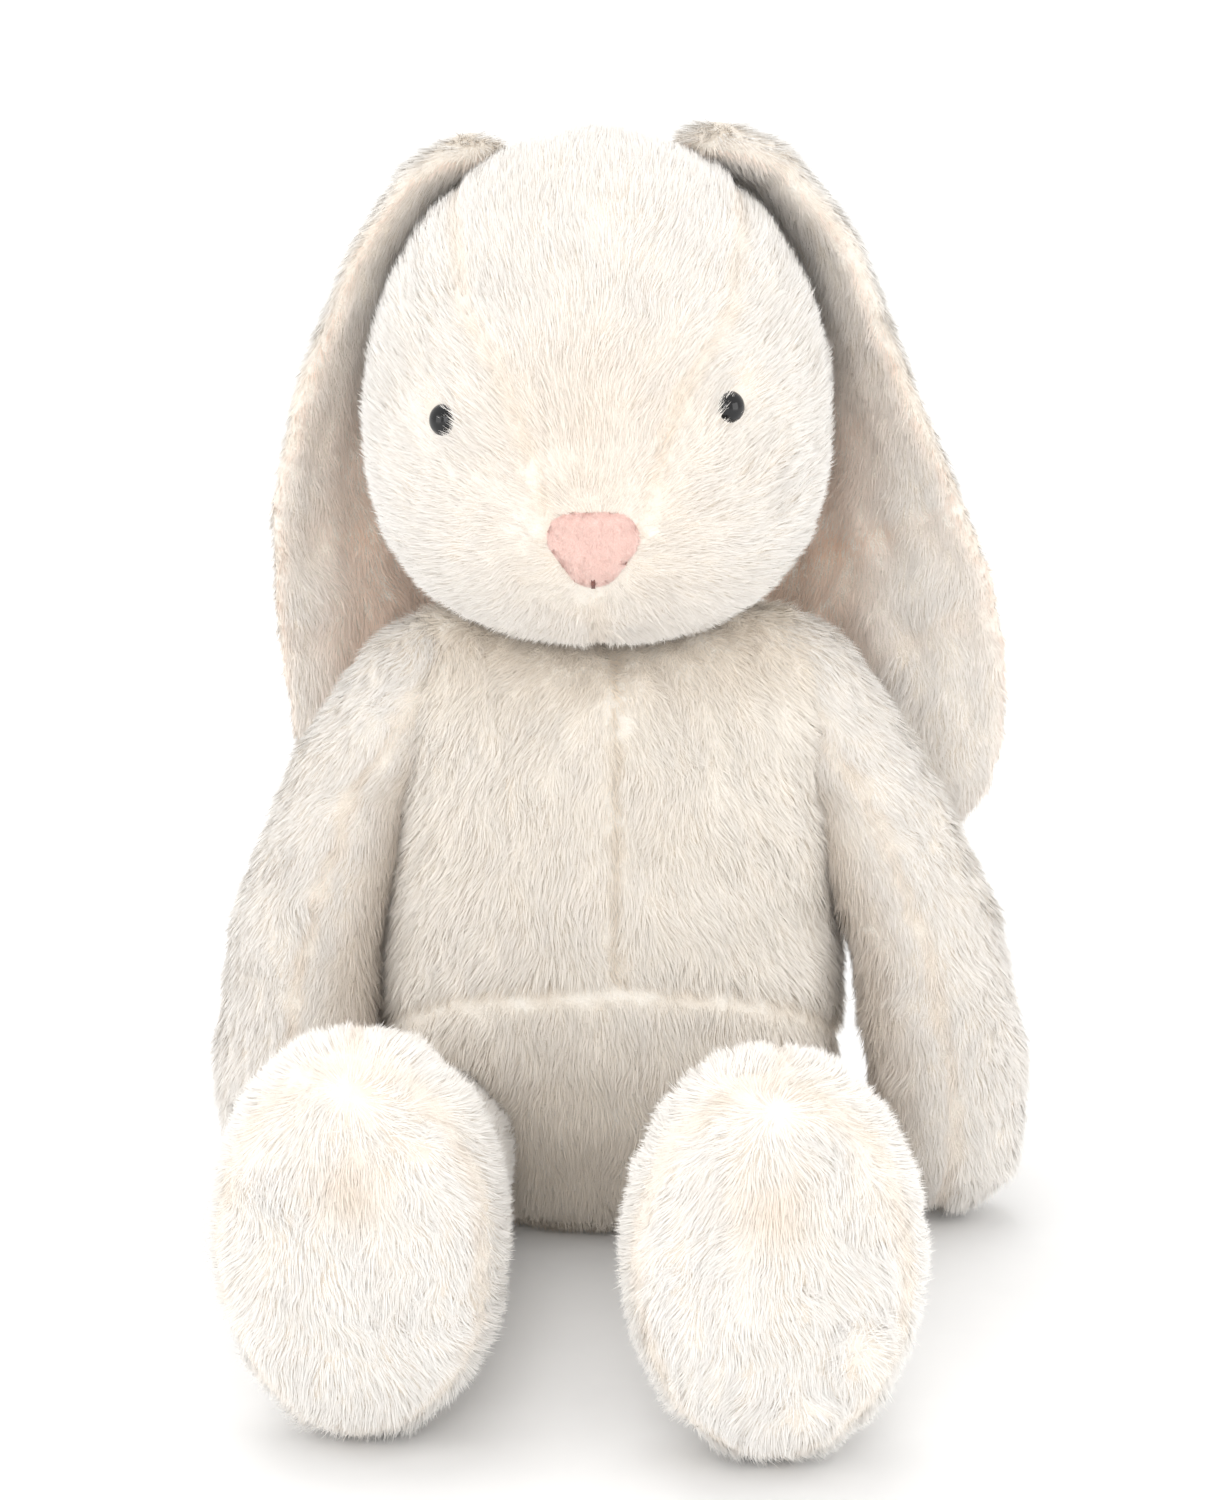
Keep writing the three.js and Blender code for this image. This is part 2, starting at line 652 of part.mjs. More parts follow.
function makeBody() {
  const skin = withLimbRoom(eggForm(BODY, 0, 0));
  const inside = eggForm(BODY, -FABRIC, FABRIC);
  const filling = withLimbRoom(eggForm(BODY, -FABRIC - LOOSE, FABRIC + GAP, COARSE));
  const recess = new THREE.CylinderGeometry(POUCH.radius + 1, POUCH.radius + 1, POUCH.top, 20);
  recess.rotateX(Math.PI / 2);
  recess.translate(0, 0, POUCH.top / 2 + 1);
  const shell = cover(skin, inside);
  const seat = shell.intersect(bySeatSeam(below, -GAP / 2));
  const upper = shell.intersect(bySeatSeam(beyond, GAP / 2));
  const front = upper.intersect(below(1, SIDE_SEAM_Y - GAP / 2));
  const back = upper.intersect(beyond(1, SIDE_SEAM_Y + GAP / 2));
  const toLeft = beyond(0, FRONT_SEAM_X + GAP / 2);
  const toRight = below(0, FRONT_SEAM_X - GAP / 2);
  const group = new THREE.Group();
  group.add(
    meshOf('body_front_left_panel', front.intersect(toLeft), CREAM),
    meshOf('body_front_right_panel', front.intersect(toRight), CREAM),
    meshOf('body_back_left_panel', back.intersect(toLeft), WHITE),
    meshOf('body_back_right_panel', back.intersect(toRight), WHITE),
    meshOf('seat_panel', seat, CREAM),
    meshOf('body_stuffing', filling.subtract(solidOf(recess)), FILL),
    makePouch(),
  );
  return group;
}

/** Round cloth bag of plastic beads that weighs the seat down. */
function makePouch() {
  const { radius, bottom, top, edge } = POUCH;
  const outline = [new THREE.Vector2(0, bottom)];
  for (const [z, from] of [[bottom + edge, -90], [top - edge, 0]]) {
    for (let i = 0; i <= 3; i++) {
      const angle = THREE.MathUtils.degToRad(from + 30 * i);
      const r = radius - edge + edge * Math.cos(angle);
      outline.push(new THREE.Vector2(r, z + edge * Math.sin(angle)));
    }
  }
  outline.push(new THREE.Vector2(0, top));
  const geometry = new THREE.LatheGeometry(outline, 20);
  geometry.rotateX(Math.PI / 2);
  return meshOf('bean_pouch', solidOf(geometry), POUCH_CLOTH);
}

// ---------------------------------------------------------------- tail

function makeTail() {
  const seatForm = eggForm(BODY, GAP, 0);
  const { centre, radius, fabric } = TAIL;
  const shell = cover(ball(centre, radius, 14), ball(centre, radius - fabric, 14));
  const group = new THREE.Group();
  group.add(
    meshOf('tail_cover', shell.subtract(seatForm), WHITE),
    meshOf('tail_stuffing', ball(centre, radius - fabric - LOOSE, 10).subtract(seatForm), FILL),
  );
  return group;
}

// ---------------------------------------------------------------- assembly

const rabbit = new THREE.Group();
rabbit.add(makeBody(), makeTail(), makeHead(), ...ARMS.map(makeArm), ...LEGS.map(makeLeg));

export default rabbit;
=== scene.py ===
"""Sitting white plush rabbit with lop ears: pile-fabric skins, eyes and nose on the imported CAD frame.

Every stuffed part gets a smooth skin made from its CAD panels, which cloth pressure swells between
the seams, and one piece of pile for each sewn panel. A strand of pile is a narrow pointed blade.
Places and lengths are in millimetres until they are multiplied by MM. Blender works in metres.
"""
import math

import bmesh
import bpy
import numpy as np
from mathutils import Matrix, Vector
from mathutils.bvhtree import BVHTree
from mathutils.kdtree import KDTree


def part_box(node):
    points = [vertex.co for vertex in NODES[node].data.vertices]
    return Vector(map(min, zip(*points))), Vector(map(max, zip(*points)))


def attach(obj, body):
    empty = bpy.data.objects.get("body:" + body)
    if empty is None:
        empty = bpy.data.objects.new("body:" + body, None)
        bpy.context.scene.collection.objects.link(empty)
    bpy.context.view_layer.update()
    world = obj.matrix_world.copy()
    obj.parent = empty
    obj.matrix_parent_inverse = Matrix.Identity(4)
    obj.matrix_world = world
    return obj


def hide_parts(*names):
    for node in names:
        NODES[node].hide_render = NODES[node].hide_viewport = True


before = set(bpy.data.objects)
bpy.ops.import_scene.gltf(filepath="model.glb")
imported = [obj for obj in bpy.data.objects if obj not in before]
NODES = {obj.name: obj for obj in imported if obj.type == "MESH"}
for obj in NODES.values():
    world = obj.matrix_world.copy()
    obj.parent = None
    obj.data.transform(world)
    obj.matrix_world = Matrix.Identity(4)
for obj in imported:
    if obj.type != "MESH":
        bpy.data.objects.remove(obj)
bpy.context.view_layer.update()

MM = 0.001

DENSITY = 1.35          # strands per square millimetre
STRAND_WIDTH = 0.62
STRAND_LIFT = 23        # degrees between a strand and the skin
ROOT_DEPTH = 1.2        # how deep in the skin a strand starts
CLUMP_SIZE = 22         # strands in a tuft
DRIFT = 0.20            # how much each size of wave turns the strands
DRIFT_SIZES = (60, 28, 13)
SEAM_PART = 0.25        # how much the strands at a seam lean away from it
SEAM_TRIM = 0.25        # share of its length that a strand loses at a seam
SEAM_GROOVE = 3.5       # width of the groove along a seam
FLOOR_GAP = 0.2         # nothing goes lower than this
SIM_FRAMES = 14
PRESSURE = 4
STIFFNESS = 8
NO_SEAM = 1.0           # distance to a seam where a part has only one panel, in metres
SHOULDER_HEIGHT = 226   # the part of an arm above this and within the next width is its root
SHOULDER_WIDTH = 86
NECK_HEIGHT = 200       # the body's skin follows the head above this


# ------------------------------------------------------------------ small helpers

def srgb(red, green, blue):
    """Linear RGBA of a display colour given in 0 to 255."""
    linear = [(v / 255 / 12.92) if v <= 10 else ((v / 255 + 0.055) / 1.055) ** 2.4
              for v in (red, green, blue)]
    return (*linear, 1)


def unit(vectors):
    return vectors / np.maximum(np.linalg.norm(vectors, axis=1, keepdims=True), 1e-9)


def along_skin(flow, normal):
    """Directions laid down flat on the skin."""
    return unit(flow - normal * np.sum(flow * normal, axis=1, keepdims=True))


def bump(distance, width):
    """1 at distance 0, falling smoothly to 0 over a few widths."""
    return np.exp(-(distance / width) ** 2)


def ramp(value, start, end):
    """Smooth step from 0 at start to 1 at end."""
    t = np.clip((value - start) / (end - start), 0, 1)
    return t * t * (3 - 2 * t)


def waves(points, wavelength, seed, count=9):
    """Smooth seeded noise with three components, about -1 to 1, from crossing plane waves."""
    rng = np.random.default_rng(seed)
    total = np.zeros((len(points), 3))
    for _ in range(count):
        direction = unit(rng.normal(size=(1, 3)))[0]
        length = wavelength * rng.uniform(0.7, 1.4)
        phase = rng.uniform(0, 2 * math.pi, 3)
        angle = (points @ direction)[:, None] * (2 * math.pi / length) + phase
        total += np.sin(angle)
    return total / math.sqrt(count)


def linked(name, data):
    obj = bpy.data.objects.new(name, data)
    bpy.context.scene.collection.objects.link(obj)
    return obj


def built(name, shape, smooth=False):
    """Object made from a bmesh. A smooth one also gets its normals pointing outwards."""
    if smooth:
        bmesh.ops.recalc_face_normals(shape, faces=shape.faces)
    mesh = bpy.data.meshes.new(name)
    shape.to_mesh(mesh)
    shape.free()
    if smooth:
        smooth_shading(mesh)
    return linked(name, mesh)


def tree_of(obj):
    return BVHTree.FromObject(obj, bpy.context.evaluated_depsgraph_get())


def coordinates(mesh):
    values = np.empty(len(mesh.vertices) * 3)
    mesh.vertices.foreach_get("co", values)
    return values.reshape(-1, 3)


def set_coordinates(mesh, values):
    mesh.vertices.foreach_set("co", np.ascontiguousarray(values, dtype=np.float32).ravel())
    mesh.update()


def smooth_shading(mesh):
    mesh.polygons.foreach_set("use_smooth", np.ones(len(mesh.polygons), dtype=bool))


# ------------------------------------------------------------------ skins

def hull_of(name, nodes, extra=()):
    """Convex skin round CAD nodes and any extra points."""
    shape = bmesh.new()
    for node in nodes:
        for vertex in NODES[node].data.vertices:
            shape.verts.new(vertex.co)
    for point in extra:
        shape.verts.new(point)
    result = bmesh.ops.convex_hull(shape, input=shape.verts)
    inside = {v for v in result["geom_interior"] if isinstance(v, bmesh.types.BMVert)}
    bmesh.ops.delete(shape, geom=list(inside), context="VERTS")
    return built(name, shape)


def union_of(name, nodes):
    """The meshes of CAD nodes together in one object, ready for a remesh."""
    shape = bmesh.new()
    for node in nodes:
        shape.from_mesh(NODES[node].data)
    return built(name, shape)


def baked(obj):
    """Applies the object's modifiers to its mesh."""
    graph = bpy.context.evaluated_depsgraph_get()
    mesh = bpy.data.meshes.new_from_object(obj.evaluated_get(graph))
    obj.modifiers.clear()
    obj.data = mesh
    return obj


def remeshed(obj, voxel):
    remesh = obj.modifiers.new("Remesh", "REMESH")
    remesh.mode = "VOXEL"
    remesh.voxel_size = voxel * MM
    return baked(obj)


def outer_shell(obj):
    """Keeps the biggest connected shell, so the walls inside a cover go."""
    shape = bmesh.new()
    shape.from_mesh(obj.data)
    left = set(shape.verts)
    shells = []
    while left:
        shell, edge = set(), [left.pop()]
        while edge:
            vertex = edge.pop()
            shell.add(vertex)
            for link in vertex.link_edges:
                other = link.other_vert(vertex)
                if other in left:
                    left.remove(other)
                    edge.append(other)
        shells.append(shell)
    biggest = max(shells, key=len)
    spare = [v for v in shape.verts if v not in biggest]
    bmesh.ops.delete(shape, geom=spare, context="VERTS")
    shape.to_mesh(obj.data)
    shape.free()
    return obj


def smoothed(obj, rounds):
    """Evens out facets with steps in and out, so the skin keeps its size."""
    mesh = obj.data
    edges = np.empty(len(mesh.edges) * 2, dtype=np.int64)
    mesh.edges.foreach_get("vertices", edges)
    first, second = edges.reshape(-1, 2).T
    points = coordinates(mesh)
    degree = np.bincount(np.concatenate([first, second]), minlength=len(points))[:, None]
    for _ in range(rounds):
        for step in (0.55, -0.57):
            total = np.zeros_like(points)
            for axis in range(3):
                total[:, axis] = (np.bincount(first, points[second, axis], len(points))
                                  + np.bincount(second, points[first, axis], len(points)))
            points += step * (total / degree - points)
    set_coordinates(mesh, points)
    return obj


def normals_of(mesh):
    values = np.empty(len(mesh.vertices) * 3)
    mesh.vertices.foreach_get("normal", values)
    return values.reshape(-1, 3)


def limb_skin(name, panels, voxel, rounds):
    """Closed skin round the sewn panels of an ear, an arm or a leg."""
    return smoothed(outer_shell(remeshed(union_of(name, panels), voxel)), rounds)


def map_panels(obj, panels):
    """For every vertex: its panel, the distance to the nearest seam, and the way from that seam."""
    trees = [BVHTree.FromPolygons([v.co for v in NODES[n].data.vertices],
                                  [p.vertices for p in NODES[n].data.polygons]) for n in panels]
    points = coordinates(obj.data)
    owner = np.zeros(len(points), dtype=int)
    seam = np.full(len(points), NO_SEAM)
    away = np.zeros((len(points), 3))
    for i, point in enumerate(points):
        found = sorted((tree.find_nearest(point)[::3] + (k,) for k, tree in enumerate(trees)),
                       key=lambda hit: hit[1])
        owner[i] = found[0][2]
        if len(found) > 1:
            seam[i] = max(found[1][1] - 0.7 * found[0][1], 0)
            away[i] = point - np.array(found[1][0])
    return {"panels": list(panels), "owner": owner, "seam": seam / MM, "away": unit(away)}


def puffed(obj, seams, cap):
    """Swells the skin between its seams with cloth pressure, by no more than cap."""
    mesh = obj.data
    start = coordinates(mesh)
    group = obj.vertex_groups.new(name="seams")
    hold = bump(seams["seam"], 8)
    for index, weight in enumerate(hold):
        group.add([index], float(weight), "REPLACE")
    cloth = obj.modifiers.new("Cloth", "CLOTH")
    settings = cloth.settings
    settings.use_pressure = True
    settings.uniform_pressure_force = PRESSURE
    settings.vertex_group_mass = group.name
    settings.effector_weights.gravity = 0
    settings.quality = 4
    settings.tension_stiffness = STIFFNESS
    settings.compression_stiffness = STIFFNESS
    cloth.point_cache.frame_start = 1
    cloth.point_cache.frame_end = SIM_FRAMES
    for step in range(1, SIM_FRAMES + 1):
        bpy.context.scene.frame_set(step)
    graph = bpy.context.evaluated_depsgraph_get()
    blown = coordinates(obj.evaluated_get(graph).to_mesh())
    obj.modifiers.clear()
    obj.vertex_groups.clear()
    bpy.context.scene.frame_set(1)
    move = blown - start
    length = np.linalg.norm(move, axis=1, keepdims=True)
    move *= np.minimum(1, cap * MM / np.maximum(length, 1e-9))
    move *= (1 - 0.8 * bump(seams["seam"], 6))[:, None]
    set_coordinates(mesh, start + move)
    return obj


def grooved(obj, seams, depth):
    """Draws the skin in along its seams, and keeps it above the floor."""
    mesh = obj.data
    points = coordinates(mesh)
    points -= normals_of(mesh) * (depth * MM * bump(seams["seam"], SEAM_GROOVE))[:, None]
    points[:, 2] = np.maximum(points[:, 2], FLOOR_GAP * MM)
    set_coordinates(mesh, points)
    smooth_shading(mesh)
    return obj


# ------------------------------------------------------------------ pile

def blade_mesh(name, roots, tips, across, width, normals, shade):
    """Mesh of narrow pointed blades, shaded like the skin that they grow on.

    The pile attribute holds the way along a blade (red), and two shades of the blade (green, blue):
    its own random one, and how much warm tint it takes, partly its region's tone and partly painted shade.
    """
    outward = np.sum(np.cross(across, tips - roots) * normals, axis=1, keepdims=True)
    half = 0.5 * width[:, None] * MM * np.where(outward < 0, -1, 1)
    count = len(roots)
    points = np.stack([roots - across * half, roots + across * half, tips], axis=1)
    points[:, :, 2] = np.maximum(points[:, :, 2], FLOOR_GAP * MM)
    mesh = bpy.data.meshes.new(name)
    mesh.vertices.add(count * 3)
    mesh.loops.add(count * 3)
    mesh.polygons.add(count)
    mesh.vertices.foreach_set("co", points.astype(np.float32).ravel())
    mesh.loops.foreach_set("vertex_index", np.arange(count * 3, dtype=np.int32))
    mesh.polygons.foreach_set("loop_start", np.arange(0, count * 3, 3, dtype=np.int32))
    mesh.update(calc_edges=True)
    along = np.tile([0.0, 0.0, 1.0], count)
    colour = np.ones((count * 3, 4), dtype=np.float32)
    colour[:, 0] = along
    colour[:, 1:3] = np.repeat(shade, 3, axis=0)
    mesh.attributes.new("pile", "FLOAT_COLOR", "POINT").data.foreach_set("color", colour.ravel())
    pile_bake_map(mesh, roots, along, np.arange(count * 3) // 3)
    smooth_shading(mesh)
    mesh.normals_split_custom_set_from_vertices(np.repeat(normals, 3, axis=0).tolist())
    return mesh


def pile_bake_map(mesh, roots, along, strand):
    """UVs in a layer of their own: a grid of cells by place, with the root at the bottom of a cell."""
    cells = 32
    span = np.ptp(roots, axis=0)
    wide, high = np.argsort(span)[::-1][:2]
    place = (roots - roots.min(axis=0)) / np.maximum(span, 1e-6)
    cell = np.minimum((place[:, [wide, high]] * cells).astype(int), cells - 1)
    rng = np.random.default_rng(len(roots))
    offset = rng.uniform(0.1, 0.85, len(roots))
    u = (cell[strand, 0] + offset[strand] + 0.05 * (along > 0.9)) / cells
    v = (cell[strand, 1] + 0.06 + 0.88 * along) / cells
    layer = mesh.uv_layers.new(name="OFBake")
    layer.data.foreach_set("uv", np.stack([u, v], axis=1).astype(np.float32).ravel())


def scatter(skin, seams, density, rng):
    """Random roots on a skin, with what each one needs to know about its place."""
    mesh = skin.data
    mesh.calc_loop_triangles()
    triangles = np.empty(len(mesh.loop_triangles) * 3, dtype=np.int64)
    mesh.loop_triangles.foreach_get("vertices", triangles)
    triangles = triangles.reshape(-1, 3)
    points = coordinates(mesh)
    a, b, c = (points[triangles[:, k]] for k in range(3))
    area = 0.5 * np.linalg.norm(np.cross(b - a, c - a), axis=1)
    count = int(area.sum() / MM ** 2 * density)
    chosen = rng.choice(len(triangles), count, p=area / area.sum())
    reach, turn = np.sqrt(rng.random(count)), rng.random(count)
    weights = np.stack([1 - reach, reach * (1 - turn), reach * turn], axis=1)
    corners = triangles[chosen]

    def mixed(values):
        return np.einsum("ij,ijk->ik", weights, values[corners])

    nearest = corners[np.arange(count), weights.argmax(axis=1)]
    return {
        "root": mixed(points), "normal": unit(mixed(seams["normal"])), "away": unit(mixed(seams["away"])),
        "seam": mixed(seams["seam"][:, None])[:, 0], "owner": seams["owner"][nearest],
    }


def tufted(roots, tips, rng):
    """Draws the tips of neighbouring strands together into tufts."""
    leaders = rng.choice(len(roots), max(len(roots) // CLUMP_SIZE, 1), replace=False)
    tree = KDTree(len(leaders))
    for index, leader in enumerate(leaders):
        tree.insert(roots[leader], index)
    tree.balance()
    leader = leaders[[tree.find(point)[1] for point in roots]]
    pull = rng.uniform(0.05, 0.40, (len(roots), 1))
    return tips + pull * (tips[leader] - tips)


def lay_of(site, comb, wild, rng, seed):
    """The way each strand lies on the skin: combed, wandering, and away from the seams."""
    place, normal = site["root"] / MM, site["normal"]
    flow = along_skin(comb(place, normal), normal)
    drift = sum(DRIFT * waves(place, size, seed + 1 + k) for k, size in enumerate(DRIFT_SIZES))
    flow = (flow + wild * drift + rng.normal(0, 0.16, place.shape)
            + SEAM_PART * bump(site["seam"], 3.5)[:, None] * site["away"])
    return along_skin(flow, normal)


def strands_on(site, comb, length, warm_tone_and_shade, wild, rng, seed):
    """Arguments of blade_mesh, apart from its name, for the strands at all sites."""
    root, normal, seam = site["root"], site["normal"], site["seam"]
    place, count = root / MM, len(root)
    flow = lay_of(site, comb, wild, rng, seed)
    ruffle = waves(place, 24, seed + 4)[:, 0]
    lift = np.radians(np.clip(STRAND_LIFT + 4 * ruffle + rng.normal(0, 6, count), 8, 50))[:, None]
    long = length(place) * rng.uniform(0.75, 1.15, count)
    long = (long * (1 - SEAM_TRIM * bump(seam, 4)))[:, None] * MM
    start = root - normal * ROOT_DEPTH * MM
    tip = tufted(start, start + long * (np.cos(lift) * flow + np.sin(lift) * normal), rng)
    side = np.cross(normal, flow)
    roll = rng.normal(0, 0.4, (count, 1))
    across = unit(side * np.cos(roll) + np.cross(side, flow) * np.sin(roll))
    width = STRAND_WIDTH * rng.uniform(0.75, 1.25, count)
    lean = 0.25 * (rng.random((count, 1)) - 0.5) * flow
    facing = unit(normal + lean + 0.12 * rng.normal(size=root.shape))
    # Share of warm tint: the part's own tone from its tint function, plus painted shade in the crease along
    # each seam.
    tone_and_shade_share = np.clip(warm_tone_and_shade(place, normal) + 0.5 * bump(seam, 3.0), 0, 1)
    shade = np.stack([rng.random(count), tone_and_shade_share], axis=1)
    return start, tip, across, width, facing, shade


def grow_pile(skin, seams, body, comb, length, warm_tone_and_shade, seed, keep=None, wild=1.0):
    """One piece of pile for each sewn panel of a part.

    comb gives the way the strands lie, length how long they are, the tint function how much warm tint their
    colour takes (partly the part's tone, partly painted shade), and keep which of them grow, each from the
    places of their roots.
    """
    rng = np.random.default_rng(seed)
    site = scatter(skin, seams, DENSITY, rng)
    if keep is not None:
        kept = keep(site["root"] / MM)
        site = {key: value[kept] for key, value in site.items()}
    strands = strands_on(site, comb, length, warm_tone_and_shade, wild, rng, seed)
    for index, panel in enumerate(seams["panels"]):
        pick = site["owner"] == index
        mesh = blade_mesh(f"pile_{panel}", *(values[pick] for values in strands))
        piece = linked(f"pile_{panel}", mesh)
        slot = pile_slot(panel)
        mesh.materials.append(PILE[slot])
        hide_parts(panel)
        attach(piece, body)


def pile_slot(panel):
    """The chest and belly are cream and the ears have their own lining. The rest is white."""
    if "lining" in panel:
        return "ear_lining_pile"
    return "cream_pile" if panel.startswith("body_front") or panel == "seat_panel" else "white_pile"


# ------------------------------------------------------------------ materials

def new_material(name, roughness):
    material = bpy.data.materials.new(name)
    material.use_nodes = True
    nodes = material.node_tree.nodes
    shader = nodes["Principled BSDF"]
    shader.inputs["Roughness"].default_value = roughness
    return material, nodes, material.node_tree.links, shader


def add(nodes, kind, **settings):
    node = nodes.new(kind)
    for name, value in settings.items():
        if name in node.inputs:
            node.inputs[name].default_value = value
        else:
            setattr(node, name, value)
    return node


def mix_colours(nodes, links, factor, first, second, blend="MIX"):
    """Mix of two colours. Each may be a colour or a socket, and so may the factor."""
    mix = nodes.new("ShaderNodeMix")
    mix.data_type = "RGBA"
    mix.blend_type = blend
    for index, value in ((0, factor), (6, first), (7, second)):
        if isinstance(value, bpy.types.NodeSocket):
            links.new(value, mix.inputs[index])
        else:
            mix.inputs[index].default_value = value
    return mix.outputs[2]


def noise_of(nodes, links, scale, detail=3.0, low=0.35, high=0.65):
    """Noise in object space, stretched to 0 to 1 between two of its own levels."""
    place = nodes.new("ShaderNodeTexCoord")
    noise = add(nodes, "ShaderNodeTexNoise", Scale=scale, Detail=detail)
    links.new(place.outputs["Object"], noise.inputs["Vector"])
    level = nodes.new("ShaderNodeMapRange")
    level.inputs["From Min"].default_value = low
    level.inputs["From Max"].default_value = high
    links.new(noise.outputs["Fac"], level.inputs["Value"])
    return level.outputs["Result"]


def pile_material(name, tip, root, warm_tint_and_shade):
    """Plush pile: lighter tips, warmer roots, each strand a little different, in soft patches."""
    material, nodes, links, shader = new_material(name, 0.85)
    pile = add(nodes, "ShaderNodeAttribute", attribute_name="pile")
    parts = nodes.new("ShaderNodeSeparateColor")
    links.new(pile.outputs["Color"], parts.inputs["Color"])
    along, own, tone_and_shade_share = parts.outputs
    colour = mix_colours(nodes, links, along, root, tip)
    # Warm tint by the blue channel of the pile attribute: partly the pile's own tone, partly painted shade.
    warm_tone_and_shade = mix_colours(nodes, links, tone_and_shade_share, (1, 1, 1, 1), warm_tint_and_shade)
    colour = mix_colours(nodes, links, 1.0, colour, warm_tone_and_shade, "MULTIPLY")
    patchy = noise_of(nodes, links, 28)
    patches = mix_colours(nodes, links, patchy, (0.985, 0.98, 0.97, 1), (1, 1, 1, 1))
    colour = mix_colours(nodes, links, 1.0, colour, patches, "MULTIPLY")
    single = mix_colours(nodes, links, own, (0.965, 0.96, 0.95, 1), (1, 1, 1, 1))
    colour = mix_colours(nodes, links, 1.0, colour, single, "MULTIPLY")
    links.new(colour, shader.inputs["Base Color"])
    shader.inputs["Sheen Weight"].default_value = 0.35
    shader.inputs["Sheen Roughness"].default_value = 0.6
    shader.inputs["Specular IOR Level"].default_value = 0.25
    return material


def cloth_material(name, light, dark, scale, weave, strength):
    """Knitted or woven backing cloth: mottled colour with a fine raised grain."""
    material, nodes, links, shader = new_material(name, 0.9)
    mottle = noise_of(nodes, links, scale)
    links.new(mix_colours(nodes, links, mottle, dark, light), shader.inputs["Base Color"])
    grain = noise_of(nodes, links, weave, 2.0, 0.3, 0.7)
    raised = add(nodes, "ShaderNodeBump", Strength=strength, Distance=0.0006)
    links.new(grain, raised.inputs["Height"])
    links.new(raised.outputs["Normal"], shader.inputs["Normal"])
    shader.inputs["Specular IOR Level"].default_value = 0.2
    shader.inputs["Sheen Weight"].default_value = 0.2
    return material


def plastic_material(name, light, dark, low, high, coat):
    """Moulded plastic with faint handling marks in its gloss."""
    material, nodes, links, shader = new_material(name, low)
    tone = noise_of(nodes, links, 160)
    links.new(mix_colours(nodes, links, tone, dark, light), shader.inputs["Base Color"])
    marks = noise_of(nodes, links, 420, 5.0)
    gloss = nodes.new("ShaderNodeMapRange")
    gloss.inputs["To Min"].default_value = low
    gloss.inputs["To Max"].default_value = high
    links.new(marks, gloss.inputs["Value"])
    links.new(gloss.outputs["Result"], shader.inputs["Roughness"])
    shader.inputs["Coat Weight"].default_value = coat
    return material


def pile_colours(name, tip, root, warm_tint_and_shade):
    return pile_material(name, srgb(*tip), srgb(*root), srgb(*warm_tint_and_shade))


def cloth_colours(name, light, dark, scale, weave, strength):
    return cloth_material(name, srgb(*light), srgb(*dark), scale, weave, strength)


# The third colour of each pile is its warm tint: partly tone, partly painted shade in seams, creases and
# hollows. The lining's peach is painted shade beside the head.
PILE = {
    "white_pile": pile_colours("white_pile", (252, 251, 249), (247, 242, 236), (253, 240, 226)),
    "cream_pile": pile_colours("cream_pile", (252, 250, 247), (248, 243, 235), (252, 242, 229)),
    "ear_lining_pile": pile_colours("ear_lining_pile", (252, 250, 246), (246, 238, 230), (250, 222, 203)),
}
BACKING = cloth_colours("backing_cloth", (240, 234, 225), (228, 218, 205), 60, 900, 0.5)
POUCH_CLOTH = cloth_colours("pouch_cloth", (236, 231, 222), (222, 214, 202), 40, 1100, 0.6)
VELOUR = pile_colours("nose_velour", (250, 222, 214), (244, 205, 195), (253, 242, 238))
VELOUR_BACKING = cloth_colours("nose_backing", (247, 215, 207), (242, 204, 195), 300, 1500, 0.7)
THREAD = cloth_colours("stitch_thread", (150, 104, 92), (118, 78, 70), 500, 2400, 0.8)
EYE_BLACK = plastic_material("eye_plastic", srgb(16, 16, 19), srgb(8, 8, 10), 0.05, 0.11, 0.0)
WASHER_WHITE = plastic_material("washer_plastic", srgb(234, 234, 230), srgb(222, 222, 217),
                                0.4, 0.55, 0.0)


# ------------------------------------------------------------------ stuffed parts

def skin_bake_map(mesh):
    """UVs in a layer of their own: the front of a skin in the left half, and the back in the right half."""
    points = coordinates(mesh)
    loops = np.empty(len(mesh.loops), dtype=np.int64)
    mesh.loops.foreach_get("vertex_index", loops)
    low, high = points.min(axis=0), points.max(axis=0)
    place = (points - low) / (high - low)
    back = normals_of(mesh)[:, 1] > 0
    u = 0.48 * place[:, 0] + np.where(back, 0.5, 0.01)
    v = 0.01 + 0.98 * (0.7 * place[:, 2] + 0.3 * place[:, 1])
    layer = mesh.uv_layers.new(name="OFBake")
    layer.data.foreach_set("uv", np.stack([u, v], axis=1)[loops].astype(np.float32).ravel())


def finished_skin(obj, panels, stuffing, body, cap, groove):
    """Swells and grooves a skin, gives it its backing cloth, and attaches it to its body.

    The normals are kept from before the grooves, so that the pile isn't lit as if it were bent.
    """
    seams = map_panels(obj, panels)
    puffed(obj, seams, cap)
    seams["normal"] = normals_of(obj.data)
    grooved(obj, seams, groove)
    obj.data.materials.clear()
    obj.data.materials.append(BACKING)
    skin_bake_map(obj.data)
    if stuffing:
        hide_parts(stuffing)
    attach(obj, body)
    return seams


def middle_of(node):
    low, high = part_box(node)
    return np.array((low + high) / 2) / MM


def eye_seat(side, head_tree):
    """Where an eye's axis meets the skin of the head, and the way the skin faces there."""
    point, normal, _, _ = head_tree.find_nearest(Vector(middle_of(f"eye_{side}")) * MM)
    return point, normal


def ear_root(side):
    """Middle of the place where an ear meets the crown."""
    low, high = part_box(f"ear_{side}_lining")
    inner, outward = (low.x, 1) if side == "left" else (high.x, -1)
    return np.array([inner, (low.y + high.y) / 2, high.z]) / MM + [8 * outward, 0, -22]


